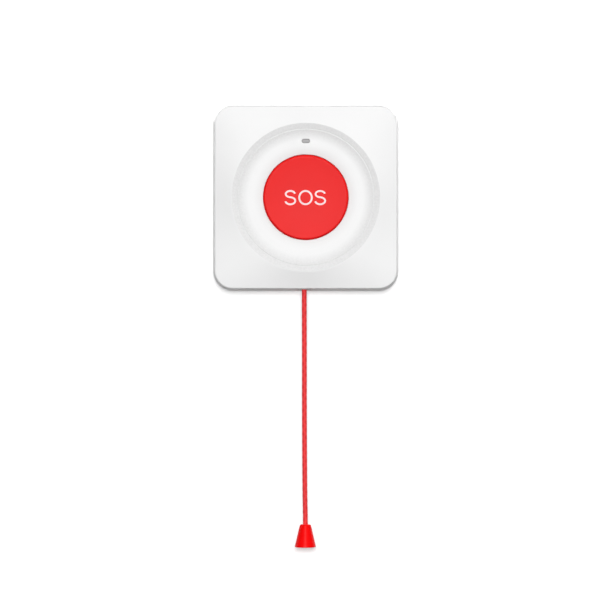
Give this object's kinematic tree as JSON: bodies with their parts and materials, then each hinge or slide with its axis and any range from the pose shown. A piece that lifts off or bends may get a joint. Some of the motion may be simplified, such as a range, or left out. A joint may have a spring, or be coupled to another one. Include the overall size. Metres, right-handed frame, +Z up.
{
  "type": "emergency pull cord alarm",
  "caption": "Square wall alarm with a round push button in a dished cover and a red pull cord that ends in a small conical grip.",
  "frame": {"origin": "centre of the wall plate's rear face, which is the centre of the square case seen from the front", "axes": "+Y goes into the wall, -Y faces the room, +Z is up and +X is to the right seen from the room"},
  "size_m": [0.086, 0.024, 0.2044],
  "materials": {
    "white_plastic": "fine satin white moulding",
    "red_button": "satin red moulding",
    "red_grip": "smooth saturated red moulding",
    "red_cord": "braided polyester cord",
    "window": "translucent grey light pipe",
    "black_plastic": "black switch and holder mouldings",
    "natural_plastic": "uncoloured acetal",
    "board": "green solder mask over glass laminate",
    "steel": "bright spring steel and plated screws",
    "gold_contact": "gold plated contact"
  },
  "bodies": {
    "wall_mount": {"wall_plate": "white_plastic"},
    "case": {"back_housing": "white_plastic", "battery_door": "white_plastic", "front_cover": "white_plastic", "button_spring": "steel", "light_pipe": "window", "circuit_board": "board", "button_switch": "black_plastic", "pull_switch": "black_plastic", "pull_spring": "steel", "cord_bushing": "white_plastic", "radio_module": "board", "radio_shield": "steel", "indicator_led": "natural_plastic", "bulk_capacitor": "steel", "battery_holder": "black_plastic", "battery_cell": "steel", "battery_contact_plus": "gold_contact", "battery_contact_minus": "gold_contact", "case_screw_1": "steel", "case_screw_2": "steel", "case_screw_3": "steel", "case_screw_4": "steel", "board_screw_1": "steel", "board_screw_2": "steel", "board_screw_3": "steel", "board_screw_4": "steel"},
    "button": {"sos_button": "red_button"},
    "button_key": {"button_switch_plunger": "natural_plastic"},
    "pull": {"pull_slider": "natural_plastic", "upper_knot": "red_cord", "pull_cord": "red_cord", "lower_knot": "red_cord", "cord_grip": "red_grip"},
    "switch_lever": {"pull_switch_lever": "steel"},
    "switch_plunger": {"pull_switch_plunger": "red_button"}
  },
  "joints": [
    {"name": "case_lift", "type": "slide", "parent": "wall_mount", "child": "case", "axis": [0, 0, 1], "range_m": [0, 0.006]},
    {"name": "button_press", "type": "slide", "parent": "case", "child": "button", "axis": [0, 1, 0], "range_m": [0, 0.0008], "stiffness_N_per_m": 1500, "springref_m": -0.001, "deforming": ["button_spring"]},
    {"name": "button_key_press", "type": "slide", "parent": "case", "child": "button_key", "axis": [0, 1, 0], "range_m": [0, 0.0005]},
    {"name": "cord_pull", "type": "slide", "parent": "case", "child": "pull", "axis": [0, 0, -1], "range_m": [0, 0.005], "stiffness_N_per_m": 800, "springref_m": -0.003, "deforming": ["pull_spring"]},
    {"name": "switch_lever_turn", "type": "hinge", "parent": "case", "child": "switch_lever", "pos_m": [0.0109, -0.0147, -0.0335], "axis": [0, 1, 0], "range_deg": [0, 7]},
    {"name": "switch_plunger_press", "type": "slide", "parent": "case", "child": "switch_plunger", "axis": [1, 0, 0], "range_m": [0, 0.0006]}
  ],
  "couplings": [
    {"joint": "button_key_press", "follows": "button_press", "ratio": 0.625},
    {"joint": "switch_lever_turn", "follows": "cord_pull", "rad_per_m": 24.43},
    {"joint": "switch_plunger_press", "follows": "cord_pull", "ratio": 0.12}
  ]
}
